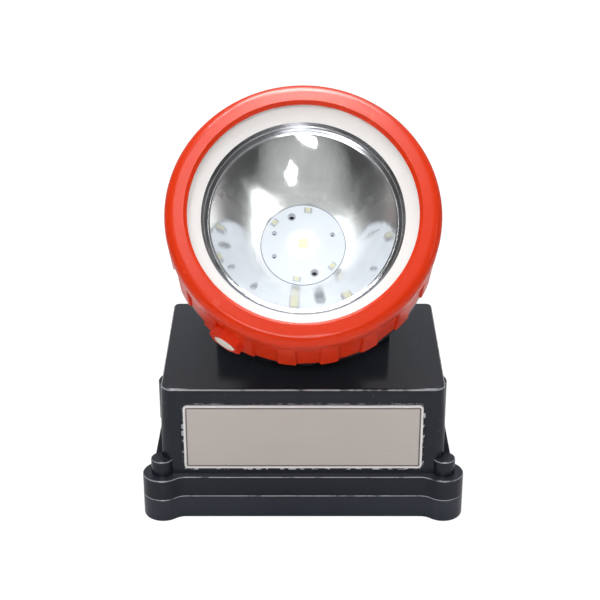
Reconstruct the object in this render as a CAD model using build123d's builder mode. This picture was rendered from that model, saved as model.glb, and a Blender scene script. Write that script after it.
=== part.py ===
"""Cordless miner's cap lamp: a battery box that hooks on a helmet, and a round tilting head.

All sizes are in millimetres. The origin is the middle of the box's back face, which rests on
a table or lies against the helmet. +Z points out of the back face, +X is to the right of
someone facing the nameplate, and -Y is the side that carries the nameplate.
"""

import os
from math import cos, radians, sin, sqrt, tan

from build123d import *

os.makedirs("parts", exist_ok=True)

# ------------------------------------------------------------------ driving sizes
# cell, which sets the size of the box
cell_radius = 9.25
cell_length = 65.0
cell_end_gap = 1.15  # end of the cell to the wall, just under the roof
cell_rear_gap = 4.9  # cell to the rear wall, with room for the charging contacts

# battery box
case_wall = 2.2
case_roof = 2.4
case_width = cell_length + 2 * (cell_end_gap + case_wall)  # across the roof, left to right
case_depth = 49.7  # across the roof, front to back
roof_room = 7.7  # cell to the inside of the roof, with room for the wires
case_draft = 1.6  # degrees that each wall leans outwards towards the cover
case_corner = 3.0  # radius of the two upright corners in front
rear_corner = 1.6  # radius of the two behind
case_edge = 0.7  # radius round the roof
cover_thickness = 6.6
cover_floor = 2.2
cover_edge = 0.6  # radius round the cover's outer rim
seam_edge = 0.35  # radius round the cover where it meets the flange
flange_height = 5.6
flange_ledge = 1.8  # how far the flange stands out from the foot of the wall
flange_edge = 0.4  # radius round the top of the flange
ear_radius = 5.1
ear_blend = 4.0
screw_in_x = 0.4  # screws inside the foot of the side walls
screw_in_y = 1.1  # screws inside the foot of the front and rear walls
tower_radius = 3.0
tower_taper = 0.15  # tower narrower at its top, on each side
tower_edge = 0.4
tower_height = 4.2
tower_inner_radius = 3.5
gusset_height = 8.0
gusset_reach = 1.4
gusset_thickness = 1.4

# cover fasteners and seal
cover_screw_radius = 1.5
cover_screw_head_radius = 2.7
cover_screw_head_height = 1.7
cover_screw_bite = 7.0  # thread length inside the tower
cover_screw_sink = 1.2  # depth of the head below the back face
screw_end_gap = 0.8
slot_width = 0.7
slot_depth = 0.8
press_gap = 0.01
seal_gap = 0.02
thread_gap = 0.03
head_gap = 0.25
gasket_width = 1.2
gasket_depth = 1.1
gasket_inset = 1.3  # gasket's middle line from the inside of the wall
gasket_turn = 2.7  # gasket's middle line round each screw

# nameplate
plate_margin = 5.55  # end of the plate to the corner of the roof
plate_foot = 1.8  # plate above the flange
plate_thickness = 0.5
plate_corner = 1.0
plate_drop = 4.4  # below the roof

# helmet hook, let into the back face
pocket_width = 32.0
pocket_length = 38.0
pocket_depth = 4.4
pocket_corner = 2.0
pocket_wall = 1.8
hook_width = 20.0
hook_thickness = 1.2
hook_base = 11.0
hook_tongue = 17.0
hook_margin = 2.0  # base end to the pocket's rear wall
hook_lift = 0.5  # tongue's outer face above the back face
hook_rivet_radius = 1.5
hook_rivet_head_radius = 2.6
hook_rivet_head = 1.0
hook_rivet_flat = 0.5
hook_rivet_spacing = 10.0

# cradle and charging board
cradle_floor = 1.2
cradle_end = 3.5  # cradle shorter than the cell, at each end
cradle_wall = 1.1
cradle_gap = 0.1
cradle_grip = 0.75  # share of the cell's radius that the cradle's sides reach up
pad_length = 6.0
pad_width = 9.0
pad_place_x = 15.0
tab_thickness = 0.2
tab_width = 7.0
tab_fold = 7.0
board_end = 8.5  # board shorter than the cell, at each end
board_depth = 16.0
board_thickness = 1.6
board_front_gap = 1.4  # board to the front wall
board_drop = 4.8  # roof's inner face to the board
board_post_radius = 2.3
board_post_in = 5.0  # post to the board's end
board_screw_radius = 1.0
board_screw_head_radius = 1.9
board_screw_head = 1.4
board_screw_bite = 3.6
contact_radius = 1.25
contact_head_radius = 2.3
contact_head = 0.8
contact_spacing = 16.0
contact_height = 20.0
contact_inner = 2.4  # how far a contact reaches in past the wall
wire_radius = 0.65
wire_bend = 2.0
wire_landing = 4.0  # length of a wire that lies on the board
board_part_sizes = (  # across, along, width, depth and height of each part on the board
    (-9.0, 1.5, 5.0, 4.0, 1.2),
    (-1.0, 0.5, 6.0, 6.0, 2.8),
    (7.5, 2.5, 4.0, 2.2, 1.4),
    (6.5, -2.8, 2.4, 1.6, 1.1),
    (10.5, -2.8, 2.4, 1.6, 1.1),
)

# hinge
hinge_in = 14.7  # axis to the rear edge of the roof
hinge_rise = 9.6  # axis above the roof
cheek_radius = 7.0
cheek_foot = 9.5  # half width of a cheek where it meets the roof
cheek_in = 21.85  # inner face of a cheek to the side of the roof
cheek_thickness = 9.0
cheek_round = 0.9
cap_radius = 5.5
cap_thickness = 1.1
cap_step = 0.6
cap_chamfer = 0.2
recess_depth = 5.5  # from a cheek's outer face to the wall that carries the pivot
bush_radius = 2.8
bush_bore = 1.4
pin_radius = 2.5
pivot_flange_radius = 3.8
pivot_flange = 0.8
knuckle_radius = 7.0
washer_thickness = 0.7
washer_gap = 0.1
washer_radius = 6.2
pivot_fit = 0.05
chamber_half = 6.2  # half the length of the cable's chamber in the knuckle
chamber_radius = 5.2
seal_section = 0.5
cable_radius = 1.1
cable_bend = 2.9
cable_turn = 3.8  # bend inside the head's knuckle
cable_end_gap = 0.05
pivot_end_gap = 0.4
channel_radius = 1.4

# head, measured along its own axis from the rear face of the bezel's lip
head_tilt = 43.0  # degrees of the head's axis above the horizontal
knuckle_setback = 8.0  # hinge axis behind the housing's back face
head_rise = 8.0  # head's axis above the hinge axis, across the head's axis
head_radius = 34.0
bezel_face = 5.65  # width of the bezel's front
lip_thickness = 1.2
lip_chamfer = 0.8
bezel_round = 2.5
band_length = 4.4
bezel_wall = 2.2  # band's outside to the skirt's outside
skirt_thickness = 1.1
skirt_length = 3.4
gasket_thickness = 0.4
lens_thickness = 2.0
ring_flat = 1.7  # flat outer part of the white ring
ring_width = 5.5
ring_thickness = 1.2
ring_lip = 0.2
flange_thickness = 1.4
head_fit = 0.1
shell_length = 14.2
grip_hollow = 0.7  # depth of the grip's hollows
lug_count = 20
lug_width = 4.8
lug_round = 0.5
first_lug_angle = 11.1  # degrees
shell_wall = 2.3
ledge_width = 1.6
ledge_web = 1.6
lug_chamfer = 0.6
ledge_slope = 1.0
skirt_end_gap = 0.2

# reflector and light source
rim_width = 2.1  # inside of the white ring to the reflector's mouth
foot_radius = 11.1  # inside of the reflector where it meets the board
light_depth = 24.5  # lip to the front of the LED board
reflector_wall = 1.2  # measured straight out from the head's axis
reflector_gap = 0.05
rim_step_width = 1.0
rim_groove_width = 1.5
rim_depth = 2.4
rim_slope = 1.6
rim_step = 0.2
led_board_margin = 2.7  # board outside the reflector's foot
led_board_thickness = 1.6
carrier_margin = 4.2  # carrier outside the board
carrier_thickness = 3.0
carrier_screw_in = 1.9
carrier_screw_radius = 0.9
carrier_screw_head_radius = 1.6
carrier_screw_head = 1.2
carrier_screw_bite = 3.6
carrier_post_radius = 2.2
led_base_radius = 4.0
led_base_height = 0.9
led_dome_radius = 2.8
led_chip_side = 2.4
led_chip_height = 0.25
side_led_length = 1.9
side_led_width = 1.2
side_led_height = 0.7
side_led_circle = 9.5
side_led_angles = (82.0, 141.0, 260.0, 322.0)  # degrees
big_hole_radius = 0.75
big_hole_circle = 8.2
big_hole_angles = (111.0, 291.0)  # degrees
small_hole_radius = 0.45
small_hole_circle = 8.1
small_hole_angles = (20.0, 157.0, 203.0)  # degrees

# rear housing
housing_flange = 2.2
housing_shoulder_gap = 0.3  # screw heads to the housing's cone
housing_back_margin = 0.5  # housing's back outside the carrier
housing_wall = 2.2
housing_round = 3.0
housing_screw_in = 4.9  # screws inside the bottom of the grip's hollows
carrier_post_length = 2.7
housing_screw_radius = 1.0
housing_screw_head_radius = 1.9
housing_screw_head = 1.4
housing_screw_bite = 5.5
housing_post_radius = 2.8
housing_post_length = 7.6
housing_seal_width = 1.1
housing_seal_depth = 0.9
neck_root = 16.0  # height of the neck where it meets the housing
neck_half = 9.0
neck_sink = 3.5  # how far the neck's root reaches in before the inside is hollowed out
passage_x = 2.9
passage_radius = 1.7

# push button in the side of the head
button_step = 12.57  # lug pitches from the first lug to the button
button_set_back = 7.2  # rear of the band to the button's axis
boss_across_flats = 7.8
boss_turn = 12.0  # degrees
boss_proud = 1.9  # boss's end face outside the grip
button_radius = 2.9
button_proud = 0.15
button_fit = 0.1
button_travel = 0.8
button_flange_radius = 3.2
button_flange = 0.8
button_bore = 3.7  # boss's end face to the shoulder that stops the button
button_seal_section = 0.42
button_round = 0.4
button_stop_gap = 0.4
switch_side = 5.2
switch_height = 3.5
switch_fit = 0.1
switch_overtravel = 0.3
switch_plunger_radius = 1.6
switch_plunger_bore = 1.6
collar_wall = 1.3
retainer_thickness = 1.0
switch_wire_radius = 0.45
switch_wire_spacing = 0.9
switch_wire_bend = 1.5

# ------------------------------------------------------------------ sizes that follow
# box
case_height = cover_thickness + cradle_floor + 2 * cell_radius + roof_room + case_roof
foot_spread = (case_height - cover_thickness - flange_height) * tan(radians(case_draft))
screw_spacing_x = case_width + 2 * (foot_spread - screw_in_x)
screw_spacing_y = case_depth + 2 * (foot_spread - screw_in_y)
plate_width = case_width - 2 * plate_margin
plate_height = case_height - cover_thickness - flange_height - plate_drop - plate_foot
cell_place_y = case_depth / 2 - case_wall - cell_rear_gap - cell_radius
cradle_length = cell_length - 2 * cradle_end
board_width = cell_length - 2 * board_end
board_place_y = board_front_gap + case_wall + board_depth / 2 - case_depth / 2
board_post_spacing = board_width - 2 * board_post_in
hinge_y = case_depth / 2 - hinge_in
cheek_inner = case_width / 2 - cheek_in
knuckle_half = cheek_inner - washer_thickness - washer_gap
pivot_engagement = knuckle_half - chamber_half
seal_place = pivot_engagement / 2  # O-ring behind the knuckle's end face
# head, outside
lens_opening_radius = head_radius - bezel_face
skirt_outer_radius = head_radius - bezel_wall
skirt_inner_radius = skirt_outer_radius - skirt_thickness
recess_radius = head_radius - grip_hollow
boss_height = head_radius + boss_proud
button_seat = boss_height - button_bore
button_depth = band_length + button_set_back
# head, inside
ring_flat_radius = skirt_inner_radius - ring_flat
ring_inner_radius = skirt_inner_radius - ring_width
mouth_radius = ring_inner_radius - rim_width
rim_step_radius = ring_inner_radius - rim_step_width
rim_groove_radius = ring_inner_radius - rim_groove_width
led_board_radius = foot_radius + led_board_margin
carrier_radius = led_board_radius + carrier_margin
carrier_screw_circle = carrier_radius - carrier_screw_in
led_back = light_depth + led_board_thickness
carrier_back = led_back + carrier_thickness
# rear housing, in places along the head's axis behind the lip
housing_screw_circle = recess_radius - housing_screw_in
housing_shoulder_radius = housing_screw_circle - housing_screw_head_radius - housing_shoulder_gap
housing_back_radius = carrier_radius + housing_back_margin
inner_back = carrier_back + carrier_post_length
housing_back = inner_back + housing_wall
head_reach = housing_back + knuckle_setback

# ------------------------------------------------------------------ frames
roof_inside = case_height - case_roof
lean = tan(radians(case_draft))
hinge_z = case_height + hinge_rise
tilt_cos = cos(radians(head_tilt))
tilt_sin = sin(radians(head_tilt))
forward = Vector(0, -tilt_cos, tilt_sin)
upward = Vector(0, tilt_sin, tilt_cos)
hinge_point = Vector(0, hinge_y, hinge_z)
head_origin = hinge_point + forward * head_reach + upward * head_rise
head_axis = Axis(head_origin, forward)
head_face = Plane(origin=head_origin, x_dir=(1, 0, 0), z_dir=forward)
head_section = Plane(origin=head_origin, x_dir=(1, 0, 0), z_dir=-upward)


def half_width(height):
    """Half the width of the box's walls, left to right, at a height above the back face."""
    return case_width / 2 + (case_height - height) * lean


def half_depth(height):
    """Half the depth of the box's walls, front to back, at a height above the back face."""
    return case_depth / 2 + (case_height - height) * lean


def wall_section(height, inset, corner_share):
    """Sketch of the box's walls at a height, moved inwards by inset, with a share of their corners."""
    with BuildSketch(Plane.XY.offset(height)) as section:
        Rectangle(2 * (half_width(height) - inset), 2 * (half_depth(height) - inset))
        fillet(section.vertices().group_by(Axis.Y)[0], case_corner * corner_share)
        fillet(section.vertices().group_by(Axis.Y)[-1], rear_corner * corner_share)
    return section


def ring_part(points):
    """Solid of revolution about the head's axis from (radius, place along the axis) points."""
    with BuildPart(mode=Mode.PRIVATE) as turned:
        with BuildSketch(head_section):
            with BuildLine():
                Polyline(*points, close=True)
            make_face()
        revolve(axis=head_axis)
    return turned.part


def on_head(across, up, along):
    """Point given by its place across, up and along the head."""
    return head_origin + Vector(1, 0, 0) * across + upward * up + forward * along


def round_wire(points, radii, radius, start_plane):
    """Round wire or cable that follows straight runs joined by arcs."""
    with BuildPart(mode=Mode.PRIVATE) as wire:
        with BuildLine() as route:
            if len(points) > 2:
                FilletPolyline(*points, radius=radii)
            else:
                Line(*points)
        with BuildSketch(start_plane):
            Circle(radius)
        sweep(path=route.line)
    return wire.part


def save(piece, name):
    """Label a finished piece and write it under its own name."""
    piece.part.label = name
    export_step(piece.part, f"parts/{name}.step")


def box_pair(lower, upper, inset, corner_share):
    """The two sketches that a drafted block of the box is lofted between."""
    return [wall_section(height, inset, corner_share).sketch for height in (lower, upper)]


# ------------------------------------------------------------------ shared heights of the box
flange_top = cover_thickness + flange_height
tower_top = flange_top + tower_height
board_top = roof_inside - board_drop
board_bottom = board_top - board_thickness
flange_half_x = half_width(flange_top) + flange_ledge
flange_half_y = half_depth(flange_top) + flange_ledge
inner_half_x = half_width(cover_thickness) - case_wall
inner_half_y = half_depth(cover_thickness) - case_wall
cheek_outer = cheek_inner + cheek_thickness
recess_floor = cheek_outer - recess_depth
channel_x = recess_floor + cable_bend
cell_z = cover_thickness + cradle_floor + cell_radius
hook_base_y = pocket_length / 2 - hook_margin
hook_rivet_y = hook_base_y - hook_base / 2
screw_seat = cover_screw_sink + cover_screw_head_height


def flange_outline(height):
    """Outline shared by the case's flange and the back cover, at a height."""
    with BuildSketch(Plane.XY.offset(height)) as outline:
        Rectangle(2 * flange_half_x, 2 * flange_half_y)
        with GridLocations(screw_spacing_x, screw_spacing_y, 2, 2):
            Circle(ear_radius)
        hollows = outline.vertices().filter_by(
            lambda v: abs(abs(v.Y) - flange_half_y) < 0.001 or abs(abs(v.X) - flange_half_x) < 0.001
        )
        fillet(hollows, ear_blend)
    return outline.sketch


def gasket_band(height, spare):
    """Band that the seal runs in: along the walls and round the inside of each screw."""
    with BuildSketch(Plane.XY.offset(height)) as band:
        for outwards, mode in ((1, Mode.ADD), (-1, Mode.SUBTRACT)):
            edge = outwards * (gasket_width / 2 + spare)
            with BuildSketch(mode=Mode.PRIVATE) as limit:
                Rectangle(
                    2 * (inner_half_x + gasket_inset + edge),
                    2 * (inner_half_y + gasket_inset + edge),
                )
                with GridLocations(screw_spacing_x, screw_spacing_y, 2, 2):
                    Circle(gasket_turn - edge, mode=Mode.SUBTRACT)
            add(limit.sketch, mode=mode)
    return band.sketch


# ------------------------------------------------------------------ battery case
# One black moulding: drafted walls, a flange with four ears, a blind screw tower on each ear,
# and two hollow cheeks on the roof that carry the head's hinge.
rear_wall = Plane(
    origin=(0, half_depth(contact_height), contact_height),
    x_dir=(-1, 0, 0),
    z_dir=(0, cos(radians(case_draft)), sin(radians(case_draft))),
)
gusset_top = tower_top + gusset_height
tower_top_radius = tower_radius - tower_taper

with BuildPart() as screw_tower:
    with BuildSketch(Plane.XZ) as tower_profile:
        with BuildLine():
            Polyline(
                (0, cover_thickness),
                (tower_radius, cover_thickness),
                (tower_top_radius, tower_top),
                (0, tower_top),
                close=True,
            )
        make_face()
        fillet(tower_profile.vertices().filter_by(lambda v: v.X > 0 and v.Y > flange_top), tower_edge)
    revolve(axis=Axis.Z)

with BuildPart() as battery_case:
    loft(sections=box_pair(cover_thickness, case_height, 0, 1))
    fillet(battery_case.faces().sort_by(Axis.Z)[-1].edges(), case_edge)
    for side in (-1, 1):
        with BuildSketch(Plane.YZ.offset(side * cheek_inner)):
            with Locations((hinge_y, hinge_z)):
                Circle(cheek_radius)
            with Locations((hinge_y, case_height - case_edge)):
                Rectangle(2 * cheek_foot, case_edge)
            make_hull()
        extrude(amount=side * cheek_thickness)
    cheek_rims = battery_case.edges().filter_by(
        lambda e: abs(abs(e.center().X) - cheek_outer) < 0.01 and e.center().Z > case_height
    )
    fillet(cheek_rims, cheek_round)
    add(flange_outline(cover_thickness))
    extrude(amount=flange_height)
    flange_rim = battery_case.edges().filter_by(
        lambda e: abs(e.center().Z - flange_top) < 0.01
        and (
            abs(e.center().X) > half_width(flange_top) + seam_edge
            or abs(e.center().Y) > half_depth(flange_top) + seam_edge
        )
    )
    fillet(flange_rim, flange_edge)
    with GridLocations(screw_spacing_x, screw_spacing_y, 2, 2):
        add(screw_tower.part)
    for side_x in (-1, 1):
        for side_y in (-1, 1):
            gusset_y = side_y * (screw_spacing_y / 2 - tower_radius)
            with BuildSketch(Plane.XZ.offset(-gusset_y)):
                with BuildLine():
                    Polyline(
                        (side_x * half_width(gusset_top), gusset_top),
                        (side_x * (half_width(tower_top) + gusset_reach), tower_top),
                        (side_x * (half_width(tower_top) + gusset_reach), flange_top),
                        (side_x * (half_width(tower_top) - gusset_reach), flange_top),
                        close=True,
                    )
                make_face()
            extrude(amount=gusset_thickness / 2, both=True)
    # inside
    loft(sections=box_pair(cover_thickness, roof_inside, case_wall, 1 / 2), mode=Mode.SUBTRACT)
    with BuildSketch(Plane.XY.offset(cover_thickness)):
        with GridLocations(screw_spacing_x, screw_spacing_y, 2, 2):
            Circle(tower_inner_radius)
    extrude(amount=flange_height)
    with BuildSketch(Plane.XY.offset(board_top)):
        with Locations((0, board_place_y)):
            with GridLocations(board_post_spacing, 0, 2, 1):
                Circle(board_post_radius)
    extrude(amount=board_drop)
    with BuildSketch(Plane.XY.offset(board_top)):
        with Locations((0, board_place_y)):
            with GridLocations(board_post_spacing, 0, 2, 1):
                Circle(board_screw_radius + thread_gap)
    extrude(amount=board_screw_bite, mode=Mode.SUBTRACT)
    # screw holes in the towers
    with BuildSketch(Plane.XY.offset(cover_thickness)):
        with GridLocations(screw_spacing_x, screw_spacing_y, 2, 2):
            Circle(cover_screw_radius + thread_gap)
    extrude(amount=cover_screw_bite + screw_end_gap, mode=Mode.SUBTRACT)
    # pivot recesses in the cheeks, with a way in for the cable on the left
    for side in (-1, 1):
        pivot_radius = bush_radius if side < 0 else pin_radius
        for radius, depth in (
            (cap_radius, cap_thickness),
            (cap_radius - cap_step, recess_depth),
            (pivot_radius + press_gap, cheek_thickness),
        ):
            with BuildSketch(Plane.YZ.offset(side * cheek_outer)):
                with Locations((hinge_y, hinge_z)):
                    Circle(radius)
            extrude(amount=-side * depth, mode=Mode.SUBTRACT)
    with BuildSketch(Plane.XY.offset(roof_inside)):
        with Locations((-channel_x, hinge_y)):
            Circle(channel_radius)
    extrude(amount=hinge_z - roof_inside, mode=Mode.SUBTRACT)
    # holes for the charging contacts
    for radius, depth in (
        (contact_head_radius + press_gap, contact_head),
        (contact_radius + press_gap, 2 * case_wall),
    ):
        with BuildSketch(rear_wall):
            with GridLocations(contact_spacing, 0, 2, 1):
                Circle(radius)
        extrude(amount=-depth, mode=Mode.SUBTRACT)
save(battery_case, "battery_case")

# ------------------------------------------------------------------ back cover
# Black moulded tray that closes the box. Its outer face carries the pocket for the helmet's
# bracket, and its rim carries the seal and the four screws.
pocket_roof = pocket_depth + pocket_wall
with BuildPart() as back_cover:
    add(flange_outline(0))
    extrude(amount=cover_thickness)
    rim = back_cover.faces().sort_by(Axis.Z)[0].edges()
    fillet(rim, cover_edge)
    fillet(back_cover.faces().sort_by(Axis.Z)[-1].edges(), seam_edge)
    with BuildSketch(Plane.XY.offset(cover_floor)):
        Rectangle(2 * inner_half_x, 2 * inner_half_y)
        with GridLocations(screw_spacing_x, screw_spacing_y, 2, 2):
            Circle(gasket_turn + gasket_width, mode=Mode.SUBTRACT)
    extrude(amount=cover_thickness - cover_floor, mode=Mode.SUBTRACT)
    with BuildSketch(Plane.XY.offset(cover_floor)):
        RectangleRounded(pocket_width + 2 * pocket_wall, pocket_length + 2 * pocket_wall, pocket_corner)
    extrude(amount=pocket_roof - cover_floor)
    with BuildSketch():
        RectangleRounded(pocket_width, pocket_length, pocket_corner)
    extrude(amount=pocket_depth, mode=Mode.SUBTRACT)
    add(gasket_band(cover_thickness, seal_gap))
    extrude(amount=-gasket_depth, mode=Mode.SUBTRACT)
    for radius, depth in (
        (cover_screw_head_radius + head_gap, screw_seat),
        (cover_screw_radius + head_gap, cover_thickness),
    ):
        with BuildSketch():
            with GridLocations(screw_spacing_x, screw_spacing_y, 2, 2):
                Circle(radius)
        extrude(amount=depth, mode=Mode.SUBTRACT)
    with BuildSketch(Plane.XY.offset(pocket_depth)):
        with Locations((0, hook_rivet_y)):
            with GridLocations(hook_rivet_spacing, 0, 2, 1):
                Circle(hook_rivet_radius + press_gap)
    extrude(amount=pocket_wall, mode=Mode.SUBTRACT)
save(back_cover, "back_cover")

# Soft seal that lies in the cover's groove, flush with the joint.
with BuildPart() as cover_seal:
    add(gasket_band(cover_thickness, 0))
    extrude(amount=-gasket_depth)
save(cover_seal, "cover_seal")

# Four pan-head steel screws, put in from the back face, that end inside the towers.
with BuildPart() as cover_screws:
    with BuildSketch(Plane.XY.offset(cover_screw_sink)):
        with GridLocations(screw_spacing_x, screw_spacing_y, 2, 2):
            Circle(cover_screw_head_radius)
    extrude(amount=cover_screw_head_height)
    with BuildSketch(Plane.XY.offset(screw_seat)):
        with GridLocations(screw_spacing_x, screw_spacing_y, 2, 2):
            Circle(cover_screw_radius)
    extrude(amount=cover_thickness + cover_screw_bite - screw_seat)
    with BuildSketch(Plane.XY.offset(cover_screw_sink)):
        with GridLocations(screw_spacing_x, screw_spacing_y, 2, 2):
            Rectangle(1.3 * cover_screw_head_radius, slot_width)
            Rectangle(slot_width, 1.3 * cover_screw_head_radius)
    extrude(amount=slot_depth, mode=Mode.SUBTRACT)
save(cover_screws, "cover_screws")

# ------------------------------------------------------------------ helmet hook
# Spring-steel strip, riveted to the roof of the pocket. Its tongue slides behind the bracket
# on the helmet.
hook_front = hook_base_y - hook_base - hook_tongue
base_low = pocket_depth - hook_thickness
joggle = base_low - hook_lift
with BuildPart() as helmet_hook:
    with BuildSketch(Plane.YZ.offset(-hook_width / 2)):
        with BuildLine():
            Polyline(
                (hook_base_y, pocket_depth),
                (hook_base_y, base_low),
                (hook_base_y - hook_base, base_low),
                (hook_base_y - hook_base - joggle, hook_lift),
                (hook_front, hook_lift),
                (hook_front, hook_lift + hook_thickness),
                (hook_base_y - hook_base - joggle, hook_lift + hook_thickness),
                (hook_base_y - hook_base, pocket_depth),
                close=True,
            )
        make_face()
    extrude(amount=hook_width)
    tongue_end = helmet_hook.faces().sort_by(Axis.Y)[0]
    fillet(tongue_end.edges().filter_by(Axis.Z), hook_width / 4)
    with BuildSketch(Plane.XY.offset(base_low)):
        with Locations((0, hook_rivet_y)):
            with GridLocations(hook_rivet_spacing, 0, 2, 1):
                Circle(hook_rivet_radius + press_gap)
    extrude(amount=hook_thickness, mode=Mode.SUBTRACT)
save(helmet_hook, "helmet_hook")

# Two rivets with round heads in the pocket and flat heads inside the box.
with BuildPart() as hook_rivets:
    for height, radius, length in (
        (base_low, hook_rivet_head_radius, -hook_rivet_head),
        (base_low, hook_rivet_radius, pocket_roof - base_low),
        (pocket_roof, hook_rivet_head_radius, hook_rivet_flat),
    ):
        with BuildSketch(Plane.XY.offset(height)):
            with Locations((0, hook_rivet_y)):
                with GridLocations(hook_rivet_spacing, 0, 2, 1):
                    Circle(radius)
        extrude(amount=length)
    heads = hook_rivets.faces().sort_by(Axis.Z)[:2]
    fillet([edge for head in heads for edge in head.edges()], hook_rivet_head / 2)
save(hook_rivets, "hook_rivets")

# ------------------------------------------------------------------ nameplate
# Thin brushed plate stuck to the sloping front wall.
plate_centre = case_height - plate_drop - plate_height / 2
front_wall = Plane(
    origin=(0, -half_depth(plate_centre), plate_centre),
    x_dir=(1, 0, 0),
    z_dir=(0, -cos(radians(case_draft)), sin(radians(case_draft))),
)
with BuildPart() as nameplate:
    with BuildSketch(front_wall):
        RectangleRounded(plate_width, plate_height, plate_corner)
    extrude(amount=plate_thickness)
save(nameplate, "nameplate")

# ------------------------------------------------------------------ cell and its cradle
cell_end = cell_length / 2
cell_plane = Plane.YZ.offset(-cell_end)
cell_top = cell_z + cell_radius
with BuildPart() as battery_cell:
    with BuildSketch(cell_plane):
        with Locations((cell_place_y, cell_z)):
            Circle(cell_radius)
    extrude(amount=cell_length)
    fillet(battery_cell.edges().filter_by(GeomType.CIRCLE), cradle_wall / 2)
save(battery_cell, "battery_cell")

# Moulded cradle that stands on the cover and holds the cell.
cradle_sides = cell_z - (1 - cradle_grip) * cell_radius
with BuildPart() as cell_cradle:
    with BuildSketch(Plane.YZ.offset(-cradle_length / 2)):
        with Locations((cell_place_y, (cover_thickness + cradle_sides) / 2)):
            Rectangle(
                2 * (cell_radius + cradle_gap + cradle_wall),
                cradle_sides - cover_thickness,
            )
        with Locations((cell_place_y, cell_z)):
            Circle(cell_radius + cradle_gap, mode=Mode.SUBTRACT)
    extrude(amount=cradle_length)
    with BuildSketch(Plane.XY.offset(cover_thickness)):
        with Locations((0, hook_rivet_y)):
            with GridLocations(hook_rivet_spacing, 0, 2, 1):
                Circle(hook_rivet_head_radius + cradle_gap)
    extrude(amount=hook_rivet_flat + cradle_gap, mode=Mode.SUBTRACT)
save(cell_cradle, "cell_cradle")

# Two foam pads that press the cell down from the roof.
with BuildPart() as cell_pads:
    with BuildSketch(Plane.XY.offset(roof_inside)):
        with Locations((0, cell_place_y)):
            with GridLocations(2 * pad_place_x, 0, 2, 1):
                Rectangle(pad_length, pad_width)
    extrude(amount=cell_z - roof_inside)
    with BuildSketch(cell_plane):
        with Locations((cell_place_y, cell_z)):
            Circle(cell_radius)
    extrude(amount=cell_length, mode=Mode.SUBTRACT)
save(cell_pads, "cell_pads")

# Nickel strips welded to the cell's ends and folded over its top.
with BuildPart() as cell_tabs:
    for side in (-1, 1):
        with BuildSketch(Plane.XZ.offset(-cell_place_y - tab_width / 2)):
            with BuildLine():
                Polyline(
                    (side * cell_end, cell_z - tab_fold / 2),
                    (side * (cell_end + tab_thickness), cell_z - tab_fold / 2),
                    (side * (cell_end + tab_thickness), cell_top + tab_thickness),
                    (side * (cell_end - tab_fold), cell_top + tab_thickness),
                    (side * (cell_end - tab_fold), cell_top),
                    (side * cell_end, cell_top),
                    close=True,
                )
            make_face()
        extrude(amount=tab_width)
save(cell_tabs, "cell_tabs")

# ------------------------------------------------------------------ charging and protection board
with BuildPart() as control_board:
    with BuildSketch(Plane.XY.offset(board_bottom)):
        with Locations((0, board_place_y)):
            Rectangle(board_width, board_depth)
            with GridLocations(board_post_spacing, 0, 2, 1):
                Circle(board_screw_radius + head_gap, mode=Mode.SUBTRACT)
    extrude(amount=board_thickness)
save(control_board, "control_board")

# Chip, coil, fuse and two capacitors on the board's underside.
with BuildPart() as board_parts:
    for across, along, width, depth, height in board_part_sizes:
        with BuildSketch(Plane.XY.offset(board_bottom)):
            with Locations((across, board_place_y + along)):
                Rectangle(width, depth)
        extrude(amount=-height)
save(board_parts, "board_parts")

with BuildPart() as board_screws:
    for height, radius, length in (
        (board_bottom, board_screw_head_radius, -board_screw_head),
        (board_bottom, board_screw_radius, board_thickness + board_screw_bite - thread_gap),
    ):
        with BuildSketch(Plane.XY.offset(height)):
            with Locations((0, board_place_y)):
                with GridLocations(board_post_spacing, 0, 2, 1):
                    Circle(radius)
        extrude(amount=length)
save(board_screws, "board_screws")

# Two plated studs, flush with the rear wall, that a charger touches.
with BuildPart() as charge_contacts:
    for start, radius, length in (
        (0, contact_head_radius, contact_head),
        (contact_head, contact_radius, case_wall + contact_inner - contact_head),
    ):
        with BuildSketch(rear_wall.offset(-start)):
            with GridLocations(contact_spacing, 0, 2, 1):
                Circle(radius)
        extrude(amount=-length)
save(charge_contacts, "charge_contacts")

# ------------------------------------------------------------------ wires inside the box
# Each wire lies on the top of the charging board with one end.
board_wire_z = board_top + wire_radius
board_edge_y = board_place_y + board_depth / 2
landing_y = board_edge_y - wire_landing
with BuildPart() as cell_leads:
    tab_wire_z = cell_top + tab_thickness + wire_radius
    for side in (-1, 1):
        tab_x = side * (cell_end - tab_fold + 2 * wire_radius)
        board_x = side * (board_width / 2 - 1.5 * wire_radius)
        add(
            round_wire(
                (
                    (tab_x, cell_place_y, tab_wire_z),
                    (tab_x, cell_place_y - tab_width, tab_wire_z),
                    (board_x, board_edge_y + wire_bend, board_wire_z),
                    (board_x, landing_y, board_wire_z),
                ),
                wire_bend,
                wire_radius,
                Plane(origin=(tab_x, cell_place_y, tab_wire_z), z_dir=(0, -1, 0)),
            )
        )
save(cell_leads, "cell_leads")

with BuildPart() as charge_leads:
    stud_length = case_wall + contact_inner
    stud_end_y = rear_wall.origin.Y - stud_length * cos(radians(case_draft))
    stud_end_z = contact_height - stud_length * sin(radians(case_draft))
    wire_y = stud_end_y - wire_radius - seal_gap
    for side in (-1, 1):
        across = side * contact_spacing / 2
        add(
            round_wire(
                (
                    (across, wire_y, stud_end_z - contact_radius),
                    (across, wire_y, cell_top + wire_radius),
                    (across, wire_y - case_wall - board_thickness - wire_bend, board_wire_z),
                    (across, landing_y, board_wire_z),
                ),
                wire_bend,
                wire_radius,
                Plane(origin=(across, wire_y, stud_end_z - contact_radius), z_dir=(0, 0, 1)),
            )
        )
save(charge_leads, "charge_leads")

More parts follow.
